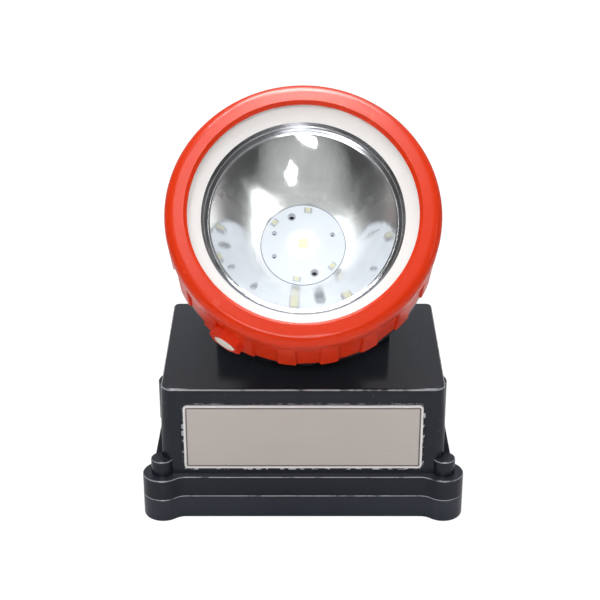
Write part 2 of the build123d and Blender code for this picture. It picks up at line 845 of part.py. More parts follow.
# Cable from the charging board up the left cheek and in along the hinge's axis.
cable_meet = chamber_half - 2 * cable_end_gap
with BuildPart() as case_cable:
    cable_z = board_top + cable_radius
    add(
        round_wire(
            (
                (-channel_x, landing_y, cable_z),
                (-channel_x, hinge_y, cable_z),
                (-channel_x, hinge_y, hinge_z),
                (-cable_meet, hinge_y, hinge_z),
            ),
            cable_bend,
            cable_radius,
            Plane(origin=(-channel_x, landing_y, cable_z), z_dir=(0, 1, 0)),
        )
    )
save(case_cable, "case_cable")

# ------------------------------------------------------------------ hinge
hinge_section = Plane(origin=(0, hinge_y, hinge_z), x_dir=(1, 0, 0), z_dir=(0, -1, 0))
hinge_axis = Axis((0, hinge_y, hinge_z), (1, 0, 0))
pivot_end = chamber_half + pivot_end_gap

# Hollow steel bush in the left cheek; the cable runs through it.
with BuildPart() as pivot_bush:
    with BuildSketch(hinge_section):
        with BuildLine():
            Polyline(
                (-pivot_end, bush_bore),
                (-pivot_end, bush_radius),
                (-recess_floor, bush_radius),
                (-recess_floor, pivot_flange_radius),
                (-recess_floor - pivot_flange, pivot_flange_radius),
                (-recess_floor - pivot_flange, bush_bore),
                close=True,
            )
        make_face()
    revolve(axis=hinge_axis)
save(pivot_bush, "pivot_bush")

# Solid steel pin in the right cheek.
with BuildPart() as pivot_pin:
    with BuildSketch(hinge_section):
        with BuildLine():
            Polyline(
                (pivot_end, 0),
                (pivot_end, pin_radius),
                (recess_floor, pin_radius),
                (recess_floor, pivot_flange_radius),
                (recess_floor + pivot_flange, pivot_flange_radius),
                (recess_floor + pivot_flange, 0),
                close=True,
            )
        make_face()
    revolve(axis=hinge_axis)
save(pivot_pin, "pivot_pin")

# Two moulded caps that close the cheeks.
with BuildPart() as pivot_caps:
    for side in (-1, 1):
        with BuildSketch(Plane.YZ.offset(side * (cheek_outer - cap_thickness))):
            with Locations((hinge_y, hinge_z)):
                Circle(cap_radius - press_gap)
        extrude(amount=side * cap_thickness)
    chamfer(pivot_caps.faces().sort_by(Axis.X)[-1].edges(), cap_chamfer)
    chamfer(pivot_caps.faces().sort_by(Axis.X)[0].edges(), cap_chamfer)
save(pivot_caps, "pivot_caps")

# Two plastic washers between the cheeks and the knuckle; their squeeze holds the head's angle.
with BuildPart() as friction_washers:
    for side, inner in ((-1, bush_radius), (1, pin_radius)):
        with BuildSketch(Plane.YZ.offset(side * cheek_inner)):
            with Locations((hinge_y, hinge_z)):
                Circle(washer_radius)
                Circle(inner + pivot_fit, mode=Mode.SUBTRACT)
        extrude(amount=-side * washer_thickness)
save(friction_washers, "friction_washers")

# Two O-rings in the knuckle, round the bush and the pin.
with BuildPart() as hinge_seals:
    for side, inner in ((-1, bush_radius), (1, pin_radius)):
        with BuildSketch(hinge_section):
            with Locations((side * (knuckle_half - seal_place), inner + pivot_fit + seal_section)):
                Circle(seal_section)
        revolve(axis=hinge_axis)
save(hinge_seals, "hinge_seals")

# ------------------------------------------------------------------ bezel, glass and reflector
# Red moulded ring that screws on to the grip and clamps everything in front of its ledge.
glass_radius = skirt_inner_radius - head_fit
glass_back = gasket_thickness + lens_thickness
ring_back = glass_back + ring_thickness
seat_depth = ring_back + flange_thickness
with BuildPart() as front_bezel:
    add(
        ring_part(
            (
                (lens_opening_radius, 0),
                (lens_opening_radius, lip_thickness - lip_chamfer),
                (lens_opening_radius + lip_chamfer, lip_thickness),
                (head_radius, lip_thickness),
                (head_radius, -band_length),
                (skirt_outer_radius, -band_length),
                (skirt_outer_radius, -band_length - skirt_length),
                (skirt_inner_radius, -band_length - skirt_length),
                (skirt_inner_radius, 0),
            )
        )
    )
    shoulder = front_bezel.edges().filter_by(
        lambda e: e.geom_type == GeomType.CIRCLE and abs(e.radius - head_radius) < 0.001
    )
    fillet(shoulder.sort_by(head_axis)[-1], bezel_round)
save(front_bezel, "front_bezel")

with BuildPart() as lens_gasket:
    add(
        ring_part(
            (
                (lens_opening_radius + gasket_thickness, 0),
                (glass_radius, 0),
                (glass_radius, -gasket_thickness),
                (lens_opening_radius + gasket_thickness, -gasket_thickness),
            )
        )
    )
save(lens_gasket, "lens_gasket")

with BuildPart() as lens:
    add(
        ring_part(
            (
                (0, -gasket_thickness),
                (glass_radius, -gasket_thickness),
                (glass_radius, -glass_back),
                (0, -glass_back),
            )
        )
    )
save(lens, "lens")

# White ring behind the glass, with a sloping inner face.
with BuildPart() as trim_ring:
    add(
        ring_part(
            (
                (glass_radius, -glass_back),
                (ring_flat_radius, -glass_back),
                (ring_inner_radius, ring_lip - ring_back),
                (ring_inner_radius, -ring_back),
                (glass_radius, -ring_back),
            )
        )
    )
save(trim_ring, "trim_ring")

# Bright reflector: a stepped rim, then a parabola down to the light.
mouth_depth = ring_back + rim_depth
foot_depth = light_depth - reflector_gap
focal_length = (mouth_radius**2 - foot_radius**2) / (4 * (foot_depth - mouth_depth))
dish_vertex = -mouth_depth - mouth_radius**2 / (4 * focal_length)
control_radius = (mouth_radius + foot_radius) / 2
control_depth = dish_vertex + mouth_radius * foot_radius / (4 * focal_length)
rim_outer = rim_step_radius + reflector_wall
with BuildPart() as reflector:
    with BuildSketch(head_section):
        with BuildLine():
            Bezier((mouth_radius, -mouth_depth), (control_radius, control_depth), (foot_radius, -foot_depth))
            Line((foot_radius, -foot_depth), (foot_radius + reflector_wall, -foot_depth))
            Bezier(
                (foot_radius + reflector_wall, -foot_depth),
                (control_radius + reflector_wall, control_depth),
                (mouth_radius + reflector_wall, -mouth_depth),
            )
            Polyline(
                (mouth_radius + reflector_wall, -mouth_depth),
                (rim_outer, -mouth_depth),
                (rim_outer, -seat_depth),
                (glass_radius, -seat_depth),
                (glass_radius, -ring_back),
                (ring_inner_radius, -ring_back),
                (rim_step_radius, -ring_back - rim_slope),
                (rim_groove_radius, -ring_back - rim_slope - rim_step),
                (rim_groove_radius, -mouth_depth + rim_step),
                (mouth_radius, -mouth_depth),
            )
        make_face()
    revolve(axis=head_axis)
save(reflector, "reflector")

# ------------------------------------------------------------------ grip with the push button
# Red moulded ring with a ledge for the reflector, four posts for the housing's screws, and a
# six-sided boss with a collar behind it for the switch.
shell_back = band_length + shell_length
bore_radius = recess_radius - shell_wall
skirt_slot = skirt_outer_radius + head_fit
slot_bottom = band_length + skirt_length + skirt_end_gap
ledge_inner = glass_radius - ledge_width
ledge_bottom = slot_bottom + ledge_web
button_angle = first_lug_angle + button_step * 360 / lug_count
outward = Vector(1, 0, 0) * cos(radians(button_angle)) + upward * sin(radians(button_angle))
switch_top = button_seat - switch_fit - button_flange - button_travel - button_stop_gap
switch_bottom = switch_top - switch_height
collar_bottom = switch_bottom - retainer_thickness
button_top = boss_height + button_proud
button_foot = button_seat - switch_fit - button_flange


def button_plane(radius):
    """Plane across the button's axis at a distance from the head's axis, facing outwards."""
    return Plane(
        origin=head_origin - forward * button_depth + outward * radius,
        x_dir=forward,
        z_dir=outward,
    )


with BuildPart() as head_shell:
    with BuildSketch(head_face.offset(-band_length)) as grip_outline:
        Circle(recess_radius)
        with PolarLocations(recess_radius, lug_count, start_angle=first_lug_angle):
            Rectangle(2 * shell_wall, lug_width)
        Circle(head_radius, mode=Mode.INTERSECT)
        lug_corners = grip_outline.vertices().filter_by(
            lambda v: abs(Vector(v.X, v.Y).length - head_radius) < 0.001
        )
        fillet(lug_corners, lug_round)
    extrude(amount=-shell_length)
    add(
        ring_part(
            (
                (head_radius - lug_chamfer, -shell_back),
                (head_radius + lug_chamfer, -shell_back),
                (head_radius + lug_chamfer, 2 * lug_chamfer - shell_back),
            )
        ),
        mode=Mode.SUBTRACT,
    )
    with BuildSketch(button_plane(bore_radius + shell_wall / 2)):
        RegularPolygon(boss_across_flats / 2, 6, major_radius=False, rotation=boss_turn)
    extrude(amount=boss_height - bore_radius - shell_wall / 2)
    add(
        ring_part(
            (
                (0, -shell_back - shell_wall),
                (bore_radius, -shell_back - shell_wall),
                (bore_radius, -ledge_bottom - ledge_slope),
                (ledge_inner, -ledge_bottom),
                (ledge_inner, -seat_depth),
                (0, -seat_depth),
            )
        ),
        mode=Mode.SUBTRACT,
    )
    with BuildSketch(head_face.offset(-shell_back)):
        with PolarLocations(housing_screw_circle, 4):
            Circle(housing_post_radius)
    extrude(amount=housing_post_length)
    with BuildSketch(head_face.offset(-shell_back)):
        with PolarLocations(housing_screw_circle, 4):
            Circle(housing_screw_radius + thread_gap)
    extrude(amount=housing_screw_bite + screw_end_gap, mode=Mode.SUBTRACT)
    # collar, switch well and button bore
    with BuildSketch(button_plane(collar_bottom)):
        Rectangle(switch_side + 2 * (switch_fit + collar_wall), switch_side + 2 * (switch_fit + collar_wall))
    extrude(amount=bore_radius + shell_wall / 4 - collar_bottom)
    with BuildSketch(button_plane(collar_bottom)):
        Rectangle(switch_side + 2 * switch_fit, switch_side + 2 * switch_fit)
    extrude(amount=switch_top - collar_bottom, mode=Mode.SUBTRACT)
    for start, end, radius in (
        (switch_top, button_seat, button_flange_radius),
        (button_seat, boss_height + button_proud, button_radius),
    ):
        with BuildSketch(button_plane(start)):
            Circle(radius + button_fit)
        extrude(amount=end - start, mode=Mode.SUBTRACT)
    # seat for the reflector's rim and the slot that the bezel's skirt screws into
    add(
        ring_part(
            (
                (0, -seat_depth),
                (glass_radius, -seat_depth),
                (glass_radius, -slot_bottom),
                (skirt_slot, -slot_bottom),
                (skirt_slot, shell_wall - band_length),
                (0, shell_wall - band_length),
            )
        ),
        mode=Mode.SUBTRACT,
    )
save(head_shell, "head_shell")

# Cream push button, kept in by its flange, with a groove for its O-ring.
groove_middle = (button_seat + boss_height) / 2
with BuildPart() as switch_button:
    with BuildSketch(button_plane(button_foot)):
        Circle(button_flange_radius)
    extrude(amount=button_flange)
    with BuildSketch(button_plane(button_foot)):
        Circle(button_radius)
    extrude(amount=button_top - button_foot)
    crown = switch_button.faces().sort_by(Axis(head_origin, outward))[-1].edges()
    fillet(crown, button_round)
    with BuildSketch(button_plane(groove_middle)):
        Circle(button_radius + button_fit)
        Circle(button_radius - 2 * button_seal_section, mode=Mode.SUBTRACT)
    extrude(amount=button_seal_section + seal_gap, both=True, mode=Mode.SUBTRACT)
save(switch_button, "switch_button")

with BuildPart() as switch_seal:
    with BuildSketch(Plane(origin=button_plane(groove_middle).origin, x_dir=outward, z_dir=forward)):
        with Locations((0, button_radius - button_seal_section + seal_gap)):
            Circle(button_seal_section)
    revolve(axis=Axis(button_plane(groove_middle).origin, outward))
save(switch_seal, "switch_seal")

with BuildPart() as switch_plunger:
    plunger_foot = switch_top - switch_plunger_bore + button_travel + switch_overtravel
    with BuildSketch(button_plane(plunger_foot)):
        Circle(switch_plunger_radius)
    extrude(amount=button_foot - plunger_foot)
save(switch_plunger, "switch_plunger")

with BuildPart() as switch_body:
    with BuildSketch(button_plane(switch_bottom)):
        Rectangle(switch_side, switch_side)
    extrude(amount=switch_height)
    with BuildSketch(button_plane(switch_top)):
        Circle(switch_plunger_radius + switch_fit)
    extrude(amount=-switch_plunger_bore, mode=Mode.SUBTRACT)
save(switch_body, "switch_body")

# Plug that holds the switch in the collar, with two holes for its wires.
with BuildPart() as switch_retainer:
    with BuildSketch(button_plane(collar_bottom)):
        Rectangle(switch_side + 2 * switch_fit - 2 * press_gap, switch_side + 2 * switch_fit - 2 * press_gap)
        with GridLocations(0, 2 * switch_wire_spacing, 1, 2):
            Circle(switch_wire_radius + switch_fit, mode=Mode.SUBTRACT)
    extrude(amount=retainer_thickness)
save(switch_retainer, "switch_retainer")

# ------------------------------------------------------------------ light source
with BuildPart() as led_board:
    with BuildSketch(head_face.offset(-light_depth)):
        Circle(led_board_radius)
        for angles, circle, radius in (
            (big_hole_angles, big_hole_circle, big_hole_radius),
            (small_hole_angles, small_hole_circle, small_hole_radius),
        ):
            for angle in angles:
                with PolarLocations(circle, 1, start_angle=angle):
                    Circle(radius, mode=Mode.SUBTRACT)
    extrude(amount=-led_board_thickness)
save(led_board, "led_board")

with BuildPart() as led_base:
    with BuildSketch(head_face.offset(-light_depth)):
        Circle(led_base_radius)
    extrude(amount=led_base_height)
save(led_base, "led_base")

with BuildPart() as led_chip:
    with BuildSketch(head_face.offset(led_base_height - light_depth)):
        Rectangle(led_chip_side, led_chip_side)
    extrude(amount=led_chip_height)
save(led_chip, "led_chip")

# Clear dome cast over the chip.
with BuildPart() as led_dome:
    with BuildSketch(head_section):
        with Locations((0, led_base_height - light_depth)):
            Circle(led_dome_radius)
            Rectangle(
                led_dome_radius, led_dome_radius, align=(Align.MIN, Align.MIN), mode=Mode.INTERSECT
            )
    revolve(axis=head_axis)
    with BuildSketch(head_face.offset(led_base_height - light_depth)):
        Rectangle(led_chip_side, led_chip_side)
    extrude(amount=led_chip_height, mode=Mode.SUBTRACT)
save(led_dome, "led_dome")

# Four small side lights soldered round the main one.
with BuildPart() as side_leds:
    with BuildSketch(head_face.offset(-light_depth)):
        for angle in side_led_angles:
            with PolarLocations(side_led_circle, 1, start_angle=angle):
                Rectangle(side_led_width, side_led_length)
    extrude(amount=side_led_height)
save(side_leds, "side_leds")

# Aluminium disc that carries the board and spreads its heat.
with BuildPart() as led_carrier:
    with BuildSketch(head_face.offset(-led_back)):
        Circle(carrier_radius)
        with PolarLocations(carrier_screw_circle, 3, start_angle=90):
            Circle(carrier_screw_radius + switch_fit, mode=Mode.SUBTRACT)
        with Locations((passage_x, -head_rise)):
            Circle(passage_radius, mode=Mode.SUBTRACT)
    extrude(amount=-carrier_thickness)
save(led_carrier, "led_carrier")

with BuildPart() as carrier_screws:
    with BuildSketch(head_face.offset(-led_back)):
        with PolarLocations(carrier_screw_circle, 3, start_angle=90):
            Circle(carrier_screw_head_radius)
    extrude(amount=carrier_screw_head)
    with BuildSketch(head_face.offset(-led_back)):
        with PolarLocations(carrier_screw_circle, 3, start_angle=90):
            Circle(carrier_screw_radius)
    extrude(amount=-carrier_thickness - carrier_screw_bite)
save(carrier_screws, "carrier_screws")

# ------------------------------------------------------------------ rear housing
# Black moulded back of the head, with the knuckle of the hinge on a neck.
housing_front = shell_back
cone_front = housing_front + housing_flange
cone_lean = (housing_shoulder_radius - housing_back_radius) / (housing_back - cone_front)
wall_across = housing_wall * sqrt(1 + cone_lean**2)
hollow_front_radius = housing_shoulder_radius - wall_across
hollow_back_radius = housing_back_radius + housing_wall * cone_lean - wall_across
seal_middle = (bore_radius + recess_radius) / 2
with BuildPart() as rear_housing:
    add(
        ring_part(
            (
                (0, -housing_front),
                (recess_radius, -housing_front),
                (recess_radius, -cone_front),
                (housing_shoulder_radius, -cone_front),
                (housing_back_radius, -housing_back),
                (0, -housing_back),
            )
        )
    )
    back_edge = rear_housing.edges().filter_by(
        lambda e: e.geom_type == GeomType.CIRCLE and abs(e.radius - housing_back_radius) < 0.001
    )
    fillet(back_edge, housing_round)
    with BuildSketch(Plane.YZ.offset(-knuckle_half)):
        with Locations((hinge_y, hinge_z)):
            Circle(knuckle_radius)
    extrude(amount=2 * knuckle_half)
    with BuildSketch(Plane.YZ.offset(-neck_half)):
        with Locations((hinge_y, hinge_z)):
            Circle(knuckle_radius)
        root_low = on_head(0, -head_rise - neck_root / 2, -housing_back)
        root_high = on_head(0, -head_rise + neck_root / 2, -housing_back)
        sink = forward * neck_sink
        root = [root_low, root_low + sink, root_high + sink, root_high]
        Polygon(*[(corner.Y, corner.Z) for corner in root], align=None)
        make_hull()
    extrude(amount=2 * neck_half)
    add(
        ring_part(
            (
                (0, housing_wall - housing_front),
                (hollow_front_radius, housing_wall - housing_front),
                (hollow_front_radius, -cone_front),
                (hollow_back_radius, -inner_back),
                (0, -inner_back),
            )
        ),
        mode=Mode.SUBTRACT,
    )
    with BuildSketch(head_face.offset(-carrier_back)):
        with PolarLocations(carrier_screw_circle, 3, start_angle=90):
            Circle(carrier_post_radius)
    extrude(amount=carrier_back - inner_back - housing_wall / 4)
    with BuildSketch(head_face.offset(-carrier_back)):
        with PolarLocations(carrier_screw_circle, 3, start_angle=90):
            Circle(carrier_screw_radius + thread_gap)
    extrude(amount=-carrier_screw_bite - thread_gap, mode=Mode.SUBTRACT)
    with BuildSketch(head_face.offset(-cone_front)):
        with PolarLocations(housing_screw_circle, 4):
            Circle(housing_screw_radius + head_gap)
    extrude(amount=housing_flange, mode=Mode.SUBTRACT)
    with BuildSketch(head_face.offset(-housing_front)):
        Circle(seal_middle + housing_seal_width / 2 + seal_gap)
        Circle(seal_middle - housing_seal_width / 2 - seal_gap, mode=Mode.SUBTRACT)
    extrude(amount=-housing_seal_depth, mode=Mode.SUBTRACT)
    # cable chamber, its way into the head, and the bores for the bush and the pin
    with BuildSketch(Plane.YZ.offset(-chamber_half)):
        with Locations((hinge_y, hinge_z)):
            Circle(chamber_radius)
    extrude(amount=2 * chamber_half, mode=Mode.SUBTRACT)
    with BuildSketch(head_face.offset(-head_reach)):
        with Locations((passage_x, -head_rise)):
            Circle(passage_radius)
    extrude(amount=head_reach - inner_back + thread_gap, mode=Mode.SUBTRACT)
    for side, pivot_radius in ((-1, bush_radius), (1, pin_radius)):
        with BuildSketch(Plane.YZ.offset(side * knuckle_half)):
            with Locations((hinge_y, hinge_z)):
                Circle(pivot_radius + pivot_fit)
        extrude(amount=-side * pivot_engagement, mode=Mode.SUBTRACT)
        with BuildSketch(Plane.YZ.offset(side * (knuckle_half - seal_place))):
            with Locations((hinge_y, hinge_z)):
                Circle(pivot_radius + pivot_fit + 2 * seal_section + seal_gap)
        extrude(amount=seal_section + seal_gap, both=True, mode=Mode.SUBTRACT)
save(rear_housing, "rear_housing")

with BuildPart() as housing_seal:
    with BuildSketch(head_face.offset(-housing_front)):
        Circle(seal_middle + housing_seal_width / 2)
        Circle(seal_middle - housing_seal_width / 2, mode=Mode.SUBTRACT)
    extrude(amount=-housing_seal_depth)
save(housing_seal, "housing_seal")

# Four pan-head screws from behind, through the housing's flange into the grip's posts.
with BuildPart() as housing_screws:
    with BuildSketch(head_face.offset(-cone_front)):
        with PolarLocations(housing_screw_circle, 4):
            Circle(housing_screw_head_radius)
    extrude(amount=-housing_screw_head)
    with BuildSketch(head_face.offset(-cone_front)):
        with PolarLocations(housing_screw_circle, 4):
            Circle(housing_screw_radius)
    extrude(amount=housing_flange + housing_screw_bite)
    with BuildSketch(head_face.offset(-cone_front - housing_screw_head)):
        with PolarLocations(housing_screw_circle, 4):
            Rectangle(1.3 * housing_screw_head_radius, slot_width)
            Rectangle(slot_width, 1.3 * housing_screw_head_radius)
    extrude(amount=slot_depth, mode=Mode.SUBTRACT)
save(housing_screws, "housing_screws")

# ------------------------------------------------------------------ wires inside the head
with BuildPart() as head_cable:
    start = hinge_point - Vector(1, 0, 0) * (cable_meet - cable_end_gap)
    add(
        round_wire(
            (
                start,
                on_head(passage_x, -head_rise, -head_reach),
                on_head(passage_x, -head_rise, -led_back),
            ),
            cable_turn,
            cable_radius,
            Plane(origin=start, z_dir=(1, 0, 0)),
        )
    )
save(head_cable, "head_cable")

with BuildPart() as switch_leads:
    sideways = Vector(1, 0, 0) * -sin(radians(button_angle)) + upward * cos(radians(button_angle))
    lead_depth = light_depth - switch_wire_radius
    for side in (-1, 1):
        route = [
            head_origin + outward * radius - forward * depth + sideways * (side * switch_wire_spacing)
            for radius, depth in (
                (switch_bottom, button_depth),
                (collar_bottom - switch_wire_bend + switch_fit, button_depth),
                (carrier_radius + carrier_screw_in, lead_depth),
                (led_board_radius - switch_wire_radius, lead_depth),
            )
        ]
        add(round_wire(route, switch_wire_bend, switch_wire_radius, Plane(origin=route[0], z_dir=-outward)))
save(switch_leads, "switch_leads")
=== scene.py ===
"""Looks of the cordless miner's cap lamp: studio, finishes, and the small pieces on its surface."""
from math import asin, cos, radians, sin

import bmesh
import bpy
from mathutils import Matrix, Vector


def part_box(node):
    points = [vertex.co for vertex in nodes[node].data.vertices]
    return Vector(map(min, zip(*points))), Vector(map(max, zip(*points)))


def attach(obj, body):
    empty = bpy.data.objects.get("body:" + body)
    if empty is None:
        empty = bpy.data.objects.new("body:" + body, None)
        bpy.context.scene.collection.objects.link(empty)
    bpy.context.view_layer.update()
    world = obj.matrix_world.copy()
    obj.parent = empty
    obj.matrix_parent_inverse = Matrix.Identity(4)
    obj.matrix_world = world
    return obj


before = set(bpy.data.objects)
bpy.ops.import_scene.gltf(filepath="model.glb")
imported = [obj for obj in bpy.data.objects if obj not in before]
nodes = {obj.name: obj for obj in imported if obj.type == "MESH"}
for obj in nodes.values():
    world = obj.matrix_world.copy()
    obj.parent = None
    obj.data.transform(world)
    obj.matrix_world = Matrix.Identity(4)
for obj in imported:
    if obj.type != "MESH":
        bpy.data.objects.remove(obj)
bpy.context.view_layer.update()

scene = bpy.context.scene

# ---------------------------------------------------------------- camera
# A long lens a little above the lamp and straight in front of it, looking down at its middle.
camera_height = radians(25.8)
camera_distance = 0.400
camera_target = Vector((-0.0008, -0.00085, 0.0497))

camera = bpy.data.objects.new("camera", bpy.data.cameras.new("camera"))
camera.data.lens = 92.08
camera.data.sensor_width = 36
camera.data.clip_start = 0.01
camera.location = camera_target + Vector((0, -cos(camera_height), sin(camera_height))) * camera_distance
camera.rotation_euler = (radians(90) - camera_height, 0, 0)
scene.collection.objects.link(camera)
scene.camera = camera
scene.view_settings.view_transform = "Standard"


# ---------------------------------------------------------------- studio
# A pale table before a white backdrop, two long lamps overhead and a broad one that only shows in
# glossy faces, soft ones in front and behind, and a strip on each side. The room in front is dim, as
# mirrors show. The table is clear from below, and lets light through to what stands on it.
class Reading:
    """A number, colour or vector that a finish works out, with the arithmetic it is used in."""

    def __init__(self, finish, socket):
        self.finish = finish
        self.socket = socket

    def maths(self, operation, first, second=0.0):
        return self.finish.node("ShaderNodeMath", {"operation": operation}, {0: first, 1: second})

    def __add__(self, other):
        return self.maths("ADD", self, other)

    def __radd__(self, other):
        return self.maths("ADD", other, self)

    def __sub__(self, other):
        return self.maths("SUBTRACT", self, other)

    def __rsub__(self, other):
        return self.maths("SUBTRACT", other, self)

    def __mul__(self, other):
        return self.maths("MULTIPLY", self, other)

    def __rmul__(self, other):
        return self.maths("MULTIPLY", other, self)

    def __abs__(self):
        return self.maths("ABSOLUTE", self)

    def larger(self, other):
        return self.maths("MAXIMUM", self, other)

    def smaller(self, other):
        return self.maths("MINIMUM", self, other)


class NodeTree:
    """Shader nodes of the world or of a material."""

    def __init__(self, owner):
        owner.use_nodes = True
        self.tree = owner.node_tree

    def node(self, kind, settings=None, sockets=None, output=0):
        """Add a node with its settings and its sockets' values or links, and read one output."""
        added = self.tree.nodes.new(kind)
        for setting, value in (settings or {}).items():
            setattr(added, setting, value)
        for socket, value in (sockets or {}).items():
            self.feed(added.inputs[socket], value)
        return Reading(self, added.outputs[output])

    def feed(self, socket, value):
        if isinstance(value, Reading):
            self.tree.links.new(value.socket, socket)
        else:
            socket.default_value = value

    def rise(self, value, start, end, low=0.0, high=1.0):
        """Value that goes smoothly from low to high between start and end."""
        return self.node(
            "ShaderNodeMapRange",
            {"interpolation_type": "SMOOTHSTEP"},
            {0: value, 1: start, 2: end, 3: low, 4: high},
        )

    def mixed(self, share, first, second):
        """Colour between two colours."""
        return self.node("ShaderNodeMix", {"data_type": "RGBA"}, {0: share, 6: first, 7: second}, 2)

    def grey(self, level):
        """Grey colour from one number."""
        return self.node("ShaderNodeCombineColor", sockets={0: level, 1: level, 2: level})


world = bpy.data.worlds.new("studio")
scene.world = world
room = NodeTree(world)
seen = room.node("ShaderNodeLightPath", output="Is Camera Ray")
mirrored = room.node("ShaderNodeLightPath", output="Is Glossy Ray")
through = room.node("ShaderNodeLightPath", output="Is Transmission Ray")
room_direction = room.node("ShaderNodeTexCoord", output="Generated")
room_back = room.node("ShaderNodeSeparateXYZ", sockets={0: room_direction}, output=1)
room_ceiling = room.node(
    "ShaderNodeVectorMath", {"operation": "DOT_PRODUCT"}, {0: room_direction, 1: (0, -0.55, 0.835)}, 1
)
room_mirrored = room.rise(room_back, -0.15, 0.55, 0.07, 0.38).larger(
    room.rise(room_ceiling, 0.76, 0.96, 0.05, 0.66)
)
room_level = (1 - seen) * ((1 - mirrored.larger(through)) * 0.24 + mirrored.larger(through) * room_mirrored)
background = room.tree.nodes["Background"]
room.feed(background.inputs["Color"], room.grey(seen + room_level))
background.inputs["Strength"].default_value = 1.0

table_mesh = bmesh.new()
bmesh.ops.create_grid(table_mesh, x_segments=4, y_segments=4, size=1.2)
bmesh.ops.translate(table_mesh, verts=table_mesh.verts, vec=(0, 0.4, -0.0001))
table = bpy.data.objects.new("table", bpy.data.meshes.new("table"))
table_mesh.to_mesh(table.data)
table_mesh.free()
scene.collection.objects.link(table)
table_paint = bpy.data.materials.new("table_white")
table_nodes = NodeTree(table_paint)
table_output = table_nodes.tree.nodes["Material Output"]
table_seen = table_nodes.node("ShaderNodeLightPath", output="Is Camera Ray")
table_glow = table_nodes.node("ShaderNodeEmission", sockets={0: (1, 1, 1, 1), 1: 0.93})
table_veil = table_nodes.node("ShaderNodeBsdfDiffuse", sockets={0: (0.16, 0.16, 0.16, 1)})
table_mirrored = table_nodes.node("ShaderNodeLightPath", output="Is Glossy Ray")
table_matt = table_nodes.node(
    "ShaderNodeBsdfDiffuse", sockets={0: table_nodes.grey(0.85 - table_mirrored * 0.25)}
)
table_front = table_nodes.node("ShaderNodeAddShader", sockets={0: table_glow, 1: table_veil})
table_top = table_nodes.node("ShaderNodeMixShader", sockets={0: table_seen, 1: table_matt, 2: table_front})
table_below = table_nodes.node("ShaderNodeNewGeometry", output="Backfacing")
table_reach = table_nodes.node("ShaderNodeLightPath", output="Ray Length")
table_touch = 1 - table_nodes.rise(table_reach, 0.0009, 0.0010)
table_open = table_nodes.node("ShaderNodeBsdfTransparent")
table_nodes.feed(
    table_output.inputs["Surface"],
    table_nodes.node(
        "ShaderNodeMixShader", sockets={0: table_below.larger(table_touch), 1: table_top, 2: table_open}
    ),
)
table.data.materials.append(table_paint)

for lamp_name, place, size, power, lights, shines in (
    ("lamp_over_back", (0.00, 0.04, 0.82), (0.66, 0.06), 2.2, True, True),
    ("lamp_over_front", (-0.04, -0.12, 0.82), (0.44, 0.05), 0.5, True, True),
    ("lamp_shine", (0.00, 0.14, 0.80), (0.44, 0.30), 9.0, False, True),
    ("lamp_front", (-0.14, -0.36, 0.78), (0.10, 0.12), 0.38, True, True),
    ("lamp_fill", (-0.10, -0.70, 0.50), (0.44, 0.16), 2.1, True, True),
    ("lamp_left", (-0.60, -0.34, 0.45), (0.08, 0.40), 0.42, True, False),
    ("lamp_right", (0.66, -0.20, 0.40), (0.10, 0.40), 0.30, True, True),
    ("lamp_back", (0.05, 0.40, 0.70), (0.60, 0.30), 2.2, True, True),
    ("lamp_bezel", (0.00, -0.037, 0.398), (0.06, 0.16), 0.9, False, True),
):
    lamp = bpy.data.objects.new(lamp_name, bpy.data.lights.new(lamp_name, "AREA"))
    lamp.data.shape = "RECTANGLE"
    lamp.data.size, lamp.data.size_y = size
    lamp.data.energy = power
    lamp.location = place
    lamp.visible_diffuse = lights
    lamp.visible_glossy = shines
    lamp.rotation_euler = (camera_target - Vector(place)).to_track_quat("-Z", "Y").to_euler()
    scene.collection.objects.link(lamp)

# The last lamp hangs close over the bezel and gives that piece alone the sheen along its top.
bezel_alone = bpy.data.collections.new("bezel_alone")
bezel_alone.objects.link(nodes["front_bezel"])
lamp.light_linking.receiver_collection = bezel_alone
lamp.visible_camera = False


# ---------------------------------------------------------------- battery case and back cover
# Two injection mouldings in black plastic. The mould's skin is fine-grained, the roof is almost glossy and a
# little dust lies on it. The faces that look straight up are painted paler as painted fill light, and the
# rounded upper edges carry painted highlights.
def shade(red, green, blue):
    """Colour from everyday 0 to 255 values."""
    return tuple(((level / 255 + 0.055) / 1.055) ** 2.4 for level in (red, green, blue)) + (1.0,)


